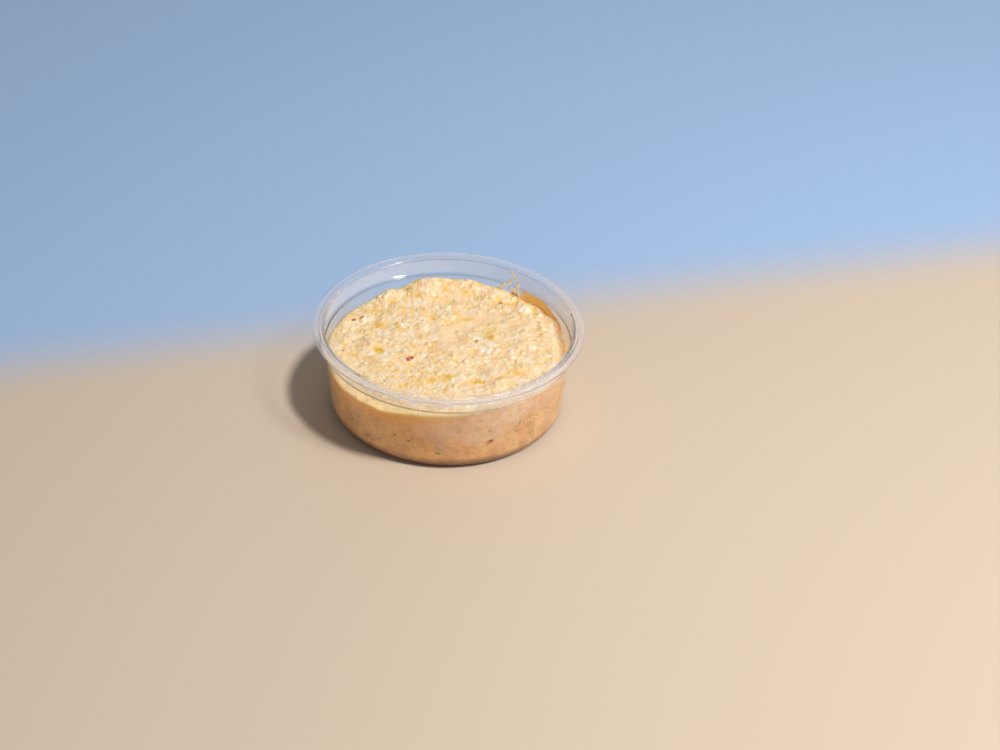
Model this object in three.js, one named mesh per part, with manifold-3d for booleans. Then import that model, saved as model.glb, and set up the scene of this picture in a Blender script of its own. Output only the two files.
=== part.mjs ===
// Spicy feta dip in its round clear plastic tub, open at the top.
// Millimetres, +Z up. The origin is the centre of the tub's base, on the surface it stands on.
import * as THREE from "three";
import { mergeVertices } from "three/addons/utils/BufferGeometryUtils.js";
import Module from "manifold-3d";

const wasm = await Module();
wasm.setup();
const { lerp, smoothstep, degToRad, radToDeg } = THREE.MathUtils;

// Tub: outer sizes
const RIM_RADIUS = 59;
const TUB_HEIGHT = 41;
const WALL = 0.6;
const HEEL_RADIUS = 5.5;
const FOOT_RADIUS = 51.4; // where the wall leaves the rounded heel
const SHOULDER_RADIUS = 54; // top of the tapered wall, just under the ledge
const LEDGE_HEIGHT = 32.2; // middle of the step from the tapered wall to the collar
const LEDGE_RISE = 1.2;
const COLLAR_RADIUS = 55.1;
const TUB_SEGMENTS = 72;

// Rim: a round bead at the mouth with a thin flange and a small lip outside it
const MOUTH_RADIUS = 53.9;
const BEAD_OUTSIDE = 56.6;
const BEAD_DEPTH = 1.4;
const FLANGE_DROP = 0.65; // flange top under the bead's top
const FLANGE_THICKNESS = 0.65;
const LIP_WIDTH = 0.4;
const LIP_DEPTH = 0.25; // lip's edge under the flange
const EDGE_ROUND = 0.3;

// Dip: its level, which leans with the tilt, and the broad forms on its top, placed by x and y
const FIT_GAP = 0.3; // between the dip and the tub
const DIP_LEVEL = 28.1;
const TILT = 2.1; // rise and fall of the level at the wall
const TILT_ANGLE = -25; // direction of the highest place, in degrees from +X
const SWELLS = [
  { at: [-12.5, 50], reach: 14, height: 4.2 }, // back bank, left part
  { at: [2, 51], reach: 12, height: 2.5 }, // back bank, middle
  { at: [11, 50.5], reach: 9, height: 1.7 }, // back bank, right end
  { at: [-28.5, 42], reach: 6.5, height: 2.6 }, // left back lump
  { at: [-24, -46], reach: 9, height: -1.4 }, // left front notch
  { at: [-31, -42], reach: 10, height: -1.9 }, // left front dent
  { at: [-43, -29], reach: 15, height: -1.4 }, // left shoulder
  { at: [30, -42], reach: 26, height: 1 }, // right front bank
  { at: [12, 22], reach: 17, height: -1 }, // smooth hollow
  { at: [-38, 12], reach: 12, height: -0.9 }, // left hollow
  { at: [-12, 12], reach: 15, height: 0.9 }, // centre ridge
  { at: [8, -28], reach: 14, height: 0.7 }, // front swell
];
// Where the dip has drawn back from the wall, between two angles: a flat floor, then a rounded bank
const TROUGHS = [
  { from: -32, to: 30, fade: 13, floor: 1.5, width: 4.4, depth: 4.4 },
  { from: 19, to: 66, fade: 10, floor: 0.3, width: 2.4, depth: 2.2 },
];

// Small lumps and dents all over the top
const LUMPS = { count: 190, narrowest: 2.8, widest: 8, deepest: -1, highest: 1.35, seed: 17 };
const SPOKES = 90;
const RINGS = 25;
const RING_CROWDING = 1.3; // over 1 the rings lie closer together towards the wall

// Pieces lying in the top: crumbs of cheese all over, and the chilli and pepper flakes that show
const CRUMBS = { count: 44, smallest: 1.5, largest: 3.4, flatness: 0.7, wallGap: 3.5, seed: 41 };
const FLAKES = [
  { at: [-16.2, -9.7], length: 3.4, width: 2, turn: 40 },
  { at: [22, 36], length: 2.8, width: 1.3, turn: -12 },
  { at: [-42.8, 20.9], length: 1.7, width: 1.4, turn: 10 },
  { at: [-39.1, 22.4], length: 1.8, width: 1.3, turn: 70 },
  { at: [12.4, 5.6], length: 1.6, width: 1.3, turn: 0 },
];
const FLAKE = { thickness: 1.1, lift: 0.22, sides: 6 };

const GOLDEN_ANGLE = Math.PI * (3 - Math.sqrt(5));
const PLACE_JITTER = 0.5; // radians, so that no spiral shows

function seededRandom(seed) {
  let state = seed;
  return () => {
    state = (state * 16807) % 2147483647;
    return state / 2147483647;
  };
}

// A geometry as a solid: shared points merged, collapsed triangles dropped
function solidOf(geometry) {
  const bare = geometry.clone();
  bare.deleteAttribute("normal");
  bare.deleteAttribute("uv");
  const merged = mergeVertices(bare, 1e-4);
  const triangles = [];
  for (let i = 0; i < merged.index.count; i += 3) {
    const [a, b, c] = [0, 1, 2].map((k) => merged.index.getX(i + k));
    if (a !== b && b !== c && c !== a) triangles.push(a, b, c);
  }
  return new wasm.Manifold(
    new wasm.Mesh({
      numProp: 3,
      vertProperties: merged.attributes.position.array,
      triVerts: new Uint32Array(triangles),
    }),
  );
}

function meshOf(name, solid, material) {
  const made = solid.getMesh();
  const geometry = new THREE.BufferGeometry();
  geometry.setAttribute("position", new THREE.BufferAttribute(made.vertProperties, 3));
  geometry.setIndex(new THREE.BufferAttribute(made.triVerts, 1));
  geometry.computeVertexNormals();
  const mesh = new THREE.Mesh(geometry, material);
  mesh.name = name;
  return mesh;
}

// Points of an arc in the (radius, height) plane, angles in degrees
function arc(centreR, centreZ, radius, from, to, steps) {
  return Array.from({ length: steps + 1 }, (_, i) => {
    const angle = degToRad(lerp(from, to, i / steps));
    return [centreR + radius * Math.cos(angle), centreZ + radius * Math.sin(angle)];
  });
}

// Outer radius of the tapered wall at a height between the heel and the ledge
function wallRadius(z) {
  const share = (z - HEEL_RADIUS) / (LEDGE_HEIGHT - LEDGE_RISE / 2 - HEEL_RADIUS);
  return lerp(FOOT_RADIUS, SHOULDER_RADIUS, share);
}

// The heel's arc, drawn an inset inside the tub's outer face
function heel(inset, steps) {
  return arc(FOOT_RADIUS - HEEL_RADIUS, HEEL_RADIUS, HEEL_RADIUS - inset, -90, 0, steps);
}

// The S-shaped step from the tapered wall out to the collar
function ledge(inset, lift) {
  const steps = 4;
  return Array.from({ length: steps + 1 }, (_, i) => {
    const share = i / steps;
    const radius = lerp(SHOULDER_RADIUS, COLLAR_RADIUS, smoothstep(share, 0, 1));
    return [radius - inset, LEDGE_HEIGHT + LEDGE_RISE * (share - 0.5) + lift];
  });
}

// Tub: one lathe profile, out along the bottom, up the outside, over the rim and down the inside
function makeTub() {
  const flangeTop = TUB_HEIGHT - FLANGE_DROP;
  const flangeUnder = flangeTop - FLANGE_THICKNESS;
  const lipBottom = flangeUnder - LIP_DEPTH;
  const collarTop = TUB_HEIGHT - BEAD_DEPTH - EDGE_ROUND;
  const outside = [
    [0, 0],
    ...heel(0, 5),
    ...ledge(0, 0),
    [COLLAR_RADIUS, collarTop],
    [COLLAR_RADIUS + EDGE_ROUND, flangeUnder],
    [RIM_RADIUS - LIP_WIDTH, flangeUnder],
    [RIM_RADIUS - LIP_WIDTH, lipBottom],
    [RIM_RADIUS, lipBottom],
    ...arc(RIM_RADIUS - EDGE_ROUND, flangeTop - EDGE_ROUND, EDGE_ROUND, 0, 90, 2),
    [BEAD_OUTSIDE + EDGE_ROUND, flangeTop],
    ...arc(BEAD_OUTSIDE - EDGE_ROUND, TUB_HEIGHT - EDGE_ROUND, EDGE_ROUND, 0, 90, 2),
    ...arc(MOUTH_RADIUS + EDGE_ROUND, TUB_HEIGHT - EDGE_ROUND, EDGE_ROUND, 90, 180, 2),
    [MOUTH_RADIUS, collarTop + EDGE_ROUND],
    [COLLAR_RADIUS - WALL, collarTop - EDGE_ROUND],
  ];
  const inside = [[0, WALL], ...heel(WALL, 4), ...ledge(WALL, WALL / 2)];
  const profile = [...outside, ...inside.reverse()].map(([r, z]) => new THREE.Vector2(r, z));
  const turned = new THREE.LatheGeometry(profile, TUB_SEGMENTS);
  turned.rotateX(Math.PI / 2);
  return solidOf(turned);
}

// A rounded hill of height 1 at distance 0 that ends at distance 1
function hill(distance) {
  return distance < 1 ? (1 - distance * distance) ** 2 : 0;
}

// Soft lumps and dents spread evenly over the top, uneven in size and place
function makeLumps() {
  const random = seededRandom(LUMPS.seed);
  return Array.from({ length: LUMPS.count }, (_, k) => {
    const radius = SHOULDER_RADIUS * Math.sqrt((k + random()) / LUMPS.count);
    const angle = k * GOLDEN_ANGLE + PLACE_JITTER * random();
    const reach = lerp(LUMPS.narrowest, LUMPS.widest, random() ** 2);
    const height = lerp(LUMPS.deepest, LUMPS.highest, random()) * Math.sqrt(reach / LUMPS.widest);
    return { x: radius * Math.cos(angle), y: radius * Math.sin(angle), reach, height };
  });
}
const lumps = makeLumps();

// Depth of a trough at an angle in degrees and a distance from the wall
function troughDepth({ from, to, fade, floor, width, depth }, angle, fromWall) {
  const along = smoothstep(Math.min(angle - from, to - angle) / fade, 0, 1);
  return depth * along * (1 - smoothstep(fromWall, floor, width));
}

// Height of the dip's top at a place on it, before crumbs and flakes
function topHeight(x, y) {
  const radius = Math.hypot(x, y);
  const angle = radToDeg(Math.atan2(y, x));
  const edge = wallRadius(DIP_LEVEL) - WALL;
  let z = DIP_LEVEL + TILT * Math.cos(degToRad(angle - TILT_ANGLE)) * (radius / edge);
  for (const { at, reach, height } of SWELLS) {
    z += height * hill(Math.hypot(x - at[0], y - at[1]) / reach);
  }
  for (const lump of lumps) {
    z += lump.height * hill(Math.hypot(x - lump.x, y - lump.y) / lump.reach);
  }
  for (const trough of TROUGHS) {
    z -= troughDepth(trough, angle, edge - radius);
  }
  return z;
}

// Radius of the dip's side at a height, a gap inside the tub's wall
function dipRadius(z) {
  return wallRadius(z) - WALL - FIT_GAP;
}

// Radius at which the top meets the side, at the height that the top has there
function edgeRadius(angle) {
  const nominal = dipRadius(DIP_LEVEL);
  return dipRadius(topHeight(nominal * Math.cos(angle), nominal * Math.sin(angle)));
}

// Dip without its small pieces: rings of points from the middle of its bottom, up and over the top
function makeDipBody() {
  const inset = WALL + FIT_GAP;
  const points = [0, 0, inset];
  const ring = (radiusAt, heightAt) => {
    for (let i = 0; i < SPOKES; i++) {
      const angle = (2 * Math.PI * i) / SPOKES;
      const [x, y] = [radiusAt(angle) * Math.cos(angle), radiusAt(angle) * Math.sin(angle)];
      points.push(x, y, heightAt(x, y));
    }
  };
  for (const [r, z] of heel(inset, 3)) {
    ring(() => r, () => z);
  }
  ring(() => dipRadius(DIP_LEVEL / 2), () => DIP_LEVEL / 2);
  for (let k = 0; k < RINGS; k++) {
    const spread = 1 - (k / RINGS) ** RING_CROWDING;
    ring((angle) => edgeRadius(angle) * spread, topHeight);
  }
  points.push(0, 0, topHeight(0, 0));

  const last = points.length / 3 - 1;
  const lastRing = (last - 1) / SPOKES - 1;
  const at = (ringIndex, i) => 1 + ringIndex * SPOKES + (i % SPOKES);
  const triangles = [];
  for (let i = 0; i < SPOKES; i++) {
    triangles.push(0, at(0, i + 1), at(0, i));
    for (let k = 0; k < lastRing; k++) {
      triangles.push(at(k, i), at(k, i + 1), at(k + 1, i + 1));
      triangles.push(at(k, i), at(k + 1, i + 1), at(k + 1, i));
    }
    triangles.push(at(lastRing, i), at(lastRing, i + 1), last);
  }
  const geometry = new THREE.BufferGeometry();
  geometry.setAttribute("position", new THREE.Float32BufferAttribute(points, 3));
  geometry.setIndex(triangles);
  return solidOf(geometry);
}

// A crumb of cheese: an uneven lump with its middle in the top
function makeCrumb(x, y, size, random) {
  const crumb = new THREE.IcosahedronGeometry(size / 2, 0);
  crumb.rotateX(random() * Math.PI);
  crumb.rotateZ(random() * Math.PI);
  crumb.scale(lerp(0.8, 1.3, random()), lerp(0.8, 1.1, random()), CRUMBS.flatness);
  crumb.translate(x, y, topHeight(x, y));
  return solidOf(crumb);
}

// A flake of chilli or pepper, lying flat with its lower part in the dip
function makeFlake({ at, length, width, turn }) {
  const flake = new THREE.CylinderGeometry(0.5, 0.5, FLAKE.thickness, FLAKE.sides);
  flake.rotateX(Math.PI / 2);
  flake.scale(length, width, 1);
  flake.rotateZ(degToRad(turn));
  flake.translate(at[0], at[1], topHeight(at[0], at[1]) + FLAKE.lift);
  return solidOf(flake);
}

function makeDip() {
  const random = seededRandom(CRUMBS.seed);
  const reach = dipRadius(DIP_LEVEL) - CRUMBS.wallGap;
  let dip = makeDipBody();
  for (let k = 0; k < CRUMBS.count; k++) {
    const radius = reach * Math.sqrt((k + 0.5) / CRUMBS.count);
    const angle = k * GOLDEN_ANGLE + PLACE_JITTER * random();
    const size = lerp(CRUMBS.smallest, CRUMBS.largest, random() ** 1.5);
    dip = dip.add(makeCrumb(radius * Math.cos(angle), radius * Math.sin(angle), size, random));
  }
  for (const flake of FLAKES) {
    dip = dip.add(makeFlake(flake));
  }
  return dip;
}

const clearPlastic = new THREE.MeshStandardMaterial({
  color: 0xeef0f6,
  roughness: 0.06,
  metalness: 0,
  transparent: true,
  opacity: 0.3,
});
const fetaDip = new THREE.MeshStandardMaterial({ color: 0xf6d5a6, roughness: 0.5, metalness: 0 });

const dipTub = new THREE.Group();
dipTub.add(meshOf("tub", makeTub(), clearPlastic));
dipTub.add(meshOf("dip", makeDip(), fetaDip));

export default dipTub;
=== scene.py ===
import functools
import math

import bmesh
import bpy
import numpy as np
from mathutils import Matrix, Vector, noise
from mathutils.bvhtree import BVHTree
from mathutils.kdtree import KDTree


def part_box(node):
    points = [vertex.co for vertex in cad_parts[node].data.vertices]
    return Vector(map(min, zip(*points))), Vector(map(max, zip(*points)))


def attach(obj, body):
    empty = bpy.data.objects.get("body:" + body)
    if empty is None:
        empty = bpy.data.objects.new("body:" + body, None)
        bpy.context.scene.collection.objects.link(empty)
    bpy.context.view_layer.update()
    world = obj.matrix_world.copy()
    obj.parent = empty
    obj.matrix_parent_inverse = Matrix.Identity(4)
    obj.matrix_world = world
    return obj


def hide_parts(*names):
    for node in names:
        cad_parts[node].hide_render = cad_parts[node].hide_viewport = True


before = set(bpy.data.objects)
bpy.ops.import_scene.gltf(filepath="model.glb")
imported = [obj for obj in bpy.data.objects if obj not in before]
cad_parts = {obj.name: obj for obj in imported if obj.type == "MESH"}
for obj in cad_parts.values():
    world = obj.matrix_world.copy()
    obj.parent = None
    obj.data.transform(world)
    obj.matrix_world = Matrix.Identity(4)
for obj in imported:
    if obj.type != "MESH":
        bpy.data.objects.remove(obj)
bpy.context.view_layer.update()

MM = 0.001
BODY = "root"

# Camera, fitted to the tub's round edges in the photograph, with angles in degrees
CAMERA_PLACE = (23.07, -851.7, 609.7)
CAMERA_ELEVATION = 34.93
CAMERA_ROLL = 2.44
LENS = 85
SENSOR_WIDTH = 36

# Lights, by azimuth, elevation, distance and size in metres, power and colour
LIGHTS = {
    "key": (-28, 54, 1.3, 0.17, 16.4, (1.0, 0.96, 0.905)),
    "fill": (-106, 12, 1.6, 1.2, 2.7, (1.0, 0.63, 0.36)),
    "back": (80, 32, 1.6, 1.0, 1.5, (0.86, 0.92, 1.0)),
}
SKY_COLOUR = (0.98, 0.98, 1.0, 1)
SKY_STRENGTH = 0.215

# Tub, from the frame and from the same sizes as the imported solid
tub_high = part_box("tub")[1]
RIM_RADIUS = tub_high.x / MM
TUB_HEIGHT = tub_high.z / MM
WALL = 0.6
HEEL_RADIUS = 5.5
FOOT_RADIUS = 51.4
SHOULDER_RADIUS = 54
LEDGE_HEIGHT = 32.2
LEDGE_RISE = 1.2
COLLAR_RADIUS = 55.1
MOUTH_RADIUS = 53.9
BEAD_OUTSIDE = 56.6
BEAD_DEPTH = 1.4
BEAD_CROWN = 0.85
FLANGE_DROP = 0.65
FLANGE_THICKNESS = 0.65
LIP_WIDTH = 0.4
LIP_DEPTH = 0.25
EDGE_ROUND = 0.3
TUB_SEGMENTS = 288
SHARP_FROM = 40  # degrees between faces that stay sharp

# Floor: how far behind the tub's middle its warm tone ends and its blue tone begins
FLOOR_WARM = 40
FLOOR_BLUE = 104
FLOOR_SLANT = 0.3
FLOOR_REACH = 30000

# Dip
dip_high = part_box("dip")[1]
DIP_RADIUS = dip_high.x / MM
DIP_TOP = dip_high.z / MM
DIP_LEVEL = 26  # height at which it meets the wall, about
INTO_WALL = 0.15  # how far the dip reaches into the plastic, so that no air gap shows
TOP_GRID = 281  # points along each side of the grid that is rounded to the top
SIDE_ROWS = 11
EDGE_INSET = 1.2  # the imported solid's top is read this far inside its edge or more
SMOOTHING = 1.1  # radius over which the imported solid's facets are evened out
SINK = 0.32  # how far the top is lowered before curds are raised on it
EDGE_CALM = 1.3  # width at the wall over which the curds fade out
SLICK_WIDTH = 5.0  # width of the edge where it is slick
# Painted glow: how far down the side an orange colour is painted under the lit edge
PAINTED_GLOW_DEPTH = 4.2  # how far down the side light comes through the edge

# Arcs of the edge, each from one angle to another, with the width over which it fades, in degrees
SLICK_ARC = (-178, -75, 15)
# Painted glow: the arc where the edge and the side under it are coloured as if light came through
PAINTED_GLOW_ARC = (-170, -78, 24)
RUGGED_ARC = (15, 170, 15)

# Patches that were wiped smooth, by x, y, length, width, turn in degrees and strength
SMOOTH_PATCHES = [
    (1.5, 7.5, 24, 11, 78, 0.9), (13, 26, 18, 11, 12, 0.9), (29, 19, 17, 7, 8, 0.7),
    (2, 40, 15, 9, -5, 0.5), (14, -19, 12, 7, 20, 0.45), (3, -38, 26, 8, 4, 0.7),
]

# Pools of oil in the top, by x, y, length, width, turn in degrees and depth
OIL_POOLS = [
    (-30.3, -2.7, 3.8, 4.6, 20, 1.0), (-31.9, 16.9, 6.2, 2.6, 12, 0.75),
    (-38.8, 13.6, 4.0, 2.2, 0, 0.6), (-5.9, -25.2, 4.2, 3.0, -20, 0.75),
    (0.7, -22.9, 6.2, 2.6, 14, 0.8), (-17.2, -29.3, 3.4, 2.6, 30, 0.7),
    (14.2, -26.6, 6.0, 2.2, -8, 0.9), (23.9, -24.2, 6.0, 2.6, 20, 0.7),
    (30.5, -19.5, 4.2, 2.4, -10, 0.7), (6.9, 23.9, 7.6, 2.6, 10, 0.65),
    (17.4, 13.6, 7.0, 2.6, 38, 0.6), (17.8, 9.0, 8.0, 2.8, -34, 0.65),
    (-15.8, 48.4, 3.8, 2.0, 0, 0.5), (-26.1, 35.6, 3.2, 2.4, 10, 0.6),
    (-7.4, -3.2, 1.7, 2.8, 0, 0.7), (-8.0, 23.5, 1.8, 1.8, 0, 0.6), (26.5, 2.5, 1.6, 2.0, 0, 0.6),
]

# The trough at the right, where oil has gathered, by angle in degrees and distance from the wall
# Its deeper colour is partly the gathered oil and partly painted shade from the wall.
TROUGH_FROM = -30
TROUGH_TO = 62
TROUGH_WIDTH = 5.0

# Crumbs of cheese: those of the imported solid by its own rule, the white ones that stand out, and
# small ones all over
CRUMBS = {"count": 44, "smallest": 1.5, "largest": 3.4, "wall_gap": 3.5, "seed": 41}
FORM_DRAWS = 4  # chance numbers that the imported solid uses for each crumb's form
DRAW_FACTOR = 16807
DRAW_LIMIT = 2147483647
WHITE_CRUMBS = [
    (-4.2, 51.0, 3.2, 1.6), (-5.5, 25.4, 4.0, 2.2), (-27.8, 5.1, 3.8, 1.8),
    (-19.4, -2.6, 3.2, 2.6), (-30.0, 39.5, 3.0, 1.6), (19.0, 2.7, 4.2, 3.0),
    (28.0, -7.9, 3.6, 3.2), (8.1, -10.9, 2.6, 3.0), (5.6, -1.5, 2.6, 1.2), (46.0, 8.5, 2.0, 2.2),
    (43.5, -5.5, 2.2, 2.6),
]
SMALL_CRUMBS = 420  # sunk in the top
LOOSE_CRUMBS = 110  # lying on it

# Flakes lying in the top, by x, y, length, width, turn in degrees and tint, 0 for the darkest
RED_FLAKES = [(-15.6, -8.8, 3.2, 2.1, 66, 0.0), (-16.7, -9.9, 2.6, 2.2, 30, 0.65)]
DARK_FLAKES = [
    (22.0, 36.0, 2.9, 1.6, -12, 0.4), (-42.8, 20.9, 1.9, 1.7, 10, 0.75),
    (-39.1, 22.4, 2.0, 1.6, 70, 0.8), (12.4, 5.6, 1.7, 1.6, 0, 0.95),
]

# Small soft specks of spice in the top, by x, y and size
SPECKS = [
    (-45.6, -3.0, 1.3), (-37.5, -2.8, 1.2), (-33.2, 26.3, 1.1), (-27.0, 41.5, 0.8),
    (-21.5, 1.6, 1.2), (-25.8, -4.3, 0.9), (-25.5, -23.8, 1.0), (-22.5, -18.7, 0.8),
    (-12.2, 21.0, 0.9), (27.0, 43.0, 1.1), (29.5, 41.0, 1.0), (19.9, 33.3, 0.8), (41.3, 5.8, 0.7),
    (40.6, 11.4, 0.8), (14.6, -15.4, 0.7),
]

# Specks in the side, pressed to the plastic, by angle in degrees, height, length, width and turn
SIDE_RED = [(-66.8, 14.3, 2.1, 1.9, 35), (-68.0, 13.6, 1.8, 1.0, 30)]
SIDE_HALO = [(-67.4, 14.0, 3.8, 2.6, 25), (-53, 15.9, 2.6, 1.2, 5), (-129, 8.2, 3.4, 2.0, 15)]
SIDE_DARK = [
    (-129, 9.0, 1.8, 1.1, 20), (-126, 7.6, 1.5, 0.9, -20), (-132, 7.0, 1.1, 0.8, 60),
    (-113, 15.4, 2.1, 1.1, -15), (-106, 13.9, 1.8, 1.2, 10), (-134, 16.0, 1.1, 0.7, 0),
    (-129, 16.0, 1.2, 0.7, 30), (-158, 7.7, 1.6, 1.0, 0), (-121, 10.4, 1.0, 0.7, 50),
    (-68, 20.0, 1.3, 0.8, 30),
]
SIDE_HERBS = [(-92, 9.0, 2.7, 1.2, -10), (-52, 20.0, 1.7, 1.0, 40), (-139, 12.5, 1.2, 0.8, 0)]
SIDE_SPECKS = 130  # tiny ones by chance, all the way round

# Paler patches of the side, by angle in degrees, height, width and height of the patch, strength
PALE_PATCHES = [
    (-60, 27.0, 38, 11, 1.0), (-42, 26.5, 26, 10, 0.6), (-72, 20.0, 30, 14, 0.75),
    (-90, 23.5, 24, 15, 0.75), (-60, 11.0, 22, 7, 0.3), (-36, 15.0, 14, 8, 0.3),
]

# Flakes on the wall among the smears, by angle in degrees, height, length, width and turn
WALL_FLAKES = [(58.8, 28.8, 1.5, 0.9, 20), (56.6, 28.5, 1.3, 0.8, -30), (61.5, 30.6, 0.9, 0.6, 40)]

# Oil and cream smeared on the wall above the dip at the right back, by angle and height
OIL_FILM_TOP = 32.3
SMEAR_PATH = [(60.6, 38.9), (60.0, 37.6), (58.8, 35.6), (57.2, 33.6), (56.5, 31.5), (57.0, 29.0)]
SMEAR_PATCHES = [
    (62.0, 33.0, 1.8), (58.5, 29.6, 2.3), (64.5, 31.0, 1.5), (53.4, 38.4, 0.9), (66.8, 30.2, 1.2),
]
WALL_CRUMBS = [
    (61.8, 33.0, 1.3), (57.9, 29.2, 1.6), (55.7, 28.6, 1.1), (63.8, 31.6, 1.2), (59.6, 31.2, 1.0),
    (66.0, 29.8, 1.3), (60.2, 37.8, 0.8), (53.5, 38.4, 0.7),
]

GOLDEN_ANGLE = math.pi * (3 - math.sqrt(5))
PLACE_JITTER = 0.5
UP = Vector((0, 0, 1))
CROSS = [(0, 0), (1, 0), (-1, 0), (0, 1), (0, -1)]


def lerp(a, b, t):
    return a + (b - a) * t


def smoothstep(t):
    t = np.clip(t, 0, 1)
    return t * t * (3 - 2 * t)


def polar(radius, degrees, z):
    angle = math.radians(degrees)
    return Vector((radius * math.cos(angle), radius * math.sin(angle), z))


def ripple(u, v, seed):
    """Smooth noise from -1 to 1 over a plane, with another pattern for each seed."""
    return noise.noise(Vector((u, v, seed)))


# Camera and light


def make_camera():
    """The photograph's camera, tipped down and rolled a little."""
    elevation = math.radians(CAMERA_ELEVATION)
    roll = math.radians(CAMERA_ROLL)
    place = Vector(CAMERA_PLACE) * MM
    right = Vector((1, 0, 0))
    up = Vector((0, math.sin(elevation), math.cos(elevation)))
    ahead = Vector((0, math.cos(elevation), -math.sin(elevation)))
    rolled_right = math.cos(roll) * right + math.sin(roll) * up
    rolled_up = math.cos(roll) * up - math.sin(roll) * right
    data = bpy.data.cameras.new("camera")
    data.lens = LENS
    data.sensor_width = SENSOR_WIDTH
    data.clip_start = 0.01
    data.clip_end = 50
    camera = bpy.data.objects.new("camera", data)
    turned = Matrix((rolled_right, rolled_up, -ahead)).transposed().to_4x4()
    camera.matrix_world = Matrix.Translation(place) @ turned
    bpy.context.scene.collection.objects.link(camera)
    bpy.context.scene.camera = camera


def make_light(name, azimuth, elevation, distance, size, power, colour):
    """A square soft light that faces the tub. Azimuth is from +X towards +Y, in degrees."""
    data = bpy.data.lights.new(name, "AREA")
    data.shape = "SQUARE"
    data.size = size
    data.energy = power
    data.color = colour
    light = bpy.data.objects.new(name, data)
    a, e = math.radians(azimuth), math.radians(elevation)
    towards = Vector((math.cos(a) * math.cos(e), math.sin(a) * math.cos(e), math.sin(e)))
    light.location = towards * distance
    light.rotation_mode = "QUATERNION"
    light.rotation_quaternion = towards.to_track_quat("Z", "Y")
    bpy.context.scene.collection.objects.link(light)


def make_studio():
    scene = bpy.context.scene
    scene.view_settings.view_transform = "Standard"
    world = bpy.data.worlds.new("studio")
    scene.world = world
    world.use_nodes = True
    background = world.node_tree.nodes["Background"]
    background.inputs["Color"].default_value = SKY_COLOUR
    background.inputs["Strength"].default_value = SKY_STRENGTH
    for name, settings in LIGHTS.items():
        make_light(name, *settings)


# Materials


class Graph:
    """A new material's node tree, with short ways to add and link nodes."""

    def __init__(self, name):
        self.material = bpy.data.materials.new(name)
        self.material.use_nodes = True
        self.tree = self.material.node_tree
        self.tree.nodes.clear()
        self.output = self.tree.nodes.new("ShaderNodeOutputMaterial")

    def add(self, kind, inputs=None, **settings):
        node = self.tree.nodes.new("ShaderNode" + kind)
        for key, value in settings.items():
            setattr(node, key, value)
        for key, value in (inputs or {}).items():
            self.feed(node.inputs[key], value)
        return node

    def feed(self, socket, value):
        """Links a socket to another node's output, or sets its value."""
        if isinstance(value, bpy.types.NodeSocket):
            self.tree.links.new(value, socket)
        else:
            socket.default_value = value

    def coords(self):
        return self.add("TexCoord").outputs["Object"]

    def noise(self, vector, size_mm, detail=2.0, roughness=0.5, output="Fac"):
        """Noise from 0 to 1 whose lumps are about size_mm wide."""
        scale = 1 / (size_mm * MM)
        inputs = {"Vector": vector, "Scale": scale, "Detail": detail, "Roughness": roughness}
        return self.add("TexNoise", inputs).outputs[output]

    def cells(self, vector, size_mm):
        """Cells about size_mm wide, each with its own value from 0 to 1."""
        inputs = {"Vector": vector, "Scale": 1 / (size_mm * MM), "Randomness": 1.0}
        colour = self.add("TexVoronoi", inputs).outputs["Color"]
        return self.add("SeparateColor", {0: colour}).outputs[0]

    def attribute(self, name):
        return self.add("Attribute", attribute_name=name).outputs["Fac"]

    def ramp(self, value, low, high, out_low=0.0, out_high=1.0):
        """The value's range from low to high, carried over to out_low and out_high."""
        inputs = {"Value": value, "From Min": low, "From Max": high}
        inputs.update({"To Min": out_low, "To Max": out_high})
        return self.add("MapRange", inputs).outputs["Result"]

    def maths(self, operation, a, b):
        return self.add("Math", {0: a, 1: b}, operation=operation).outputs[0]

    def mix(self, factor, a, b):
        """Colour a where factor is 0 and b where it is 1. A colour is 3 numbers or a socket."""
        node = self.add("Mix", data_type="RGBA")
        colours = [c if isinstance(c, bpy.types.NodeSocket) else (*c, 1) for c in (a, b)]
        self.feed(node.inputs[0], factor)
        self.feed(node.inputs[6], colours[0])
        self.feed(node.inputs[7], colours[1])
        return node.outputs[2]

    def spots(self, colour, layers):
        """Adds tones: each grows to its share where its value goes from start to end."""
        for value, start, end, share, tone in layers:
            colour = self.mix(self.ramp(value, start, end, 0.0, share), colour, tone)
        return colour

    def bump(self, height, strength, distance_mm):
        inputs = {"Height": height, "Strength": strength, "Distance": distance_mm * MM}
        return self.add("Bump", inputs).outputs["Normal"]

    def finish(self, shader):
        self.tree.links.new(shader, self.output.inputs["Surface"])
        return self.material

    def principled(self, inputs):
        return self.finish(self.add("BsdfPrincipled", inputs).outputs[0])


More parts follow.
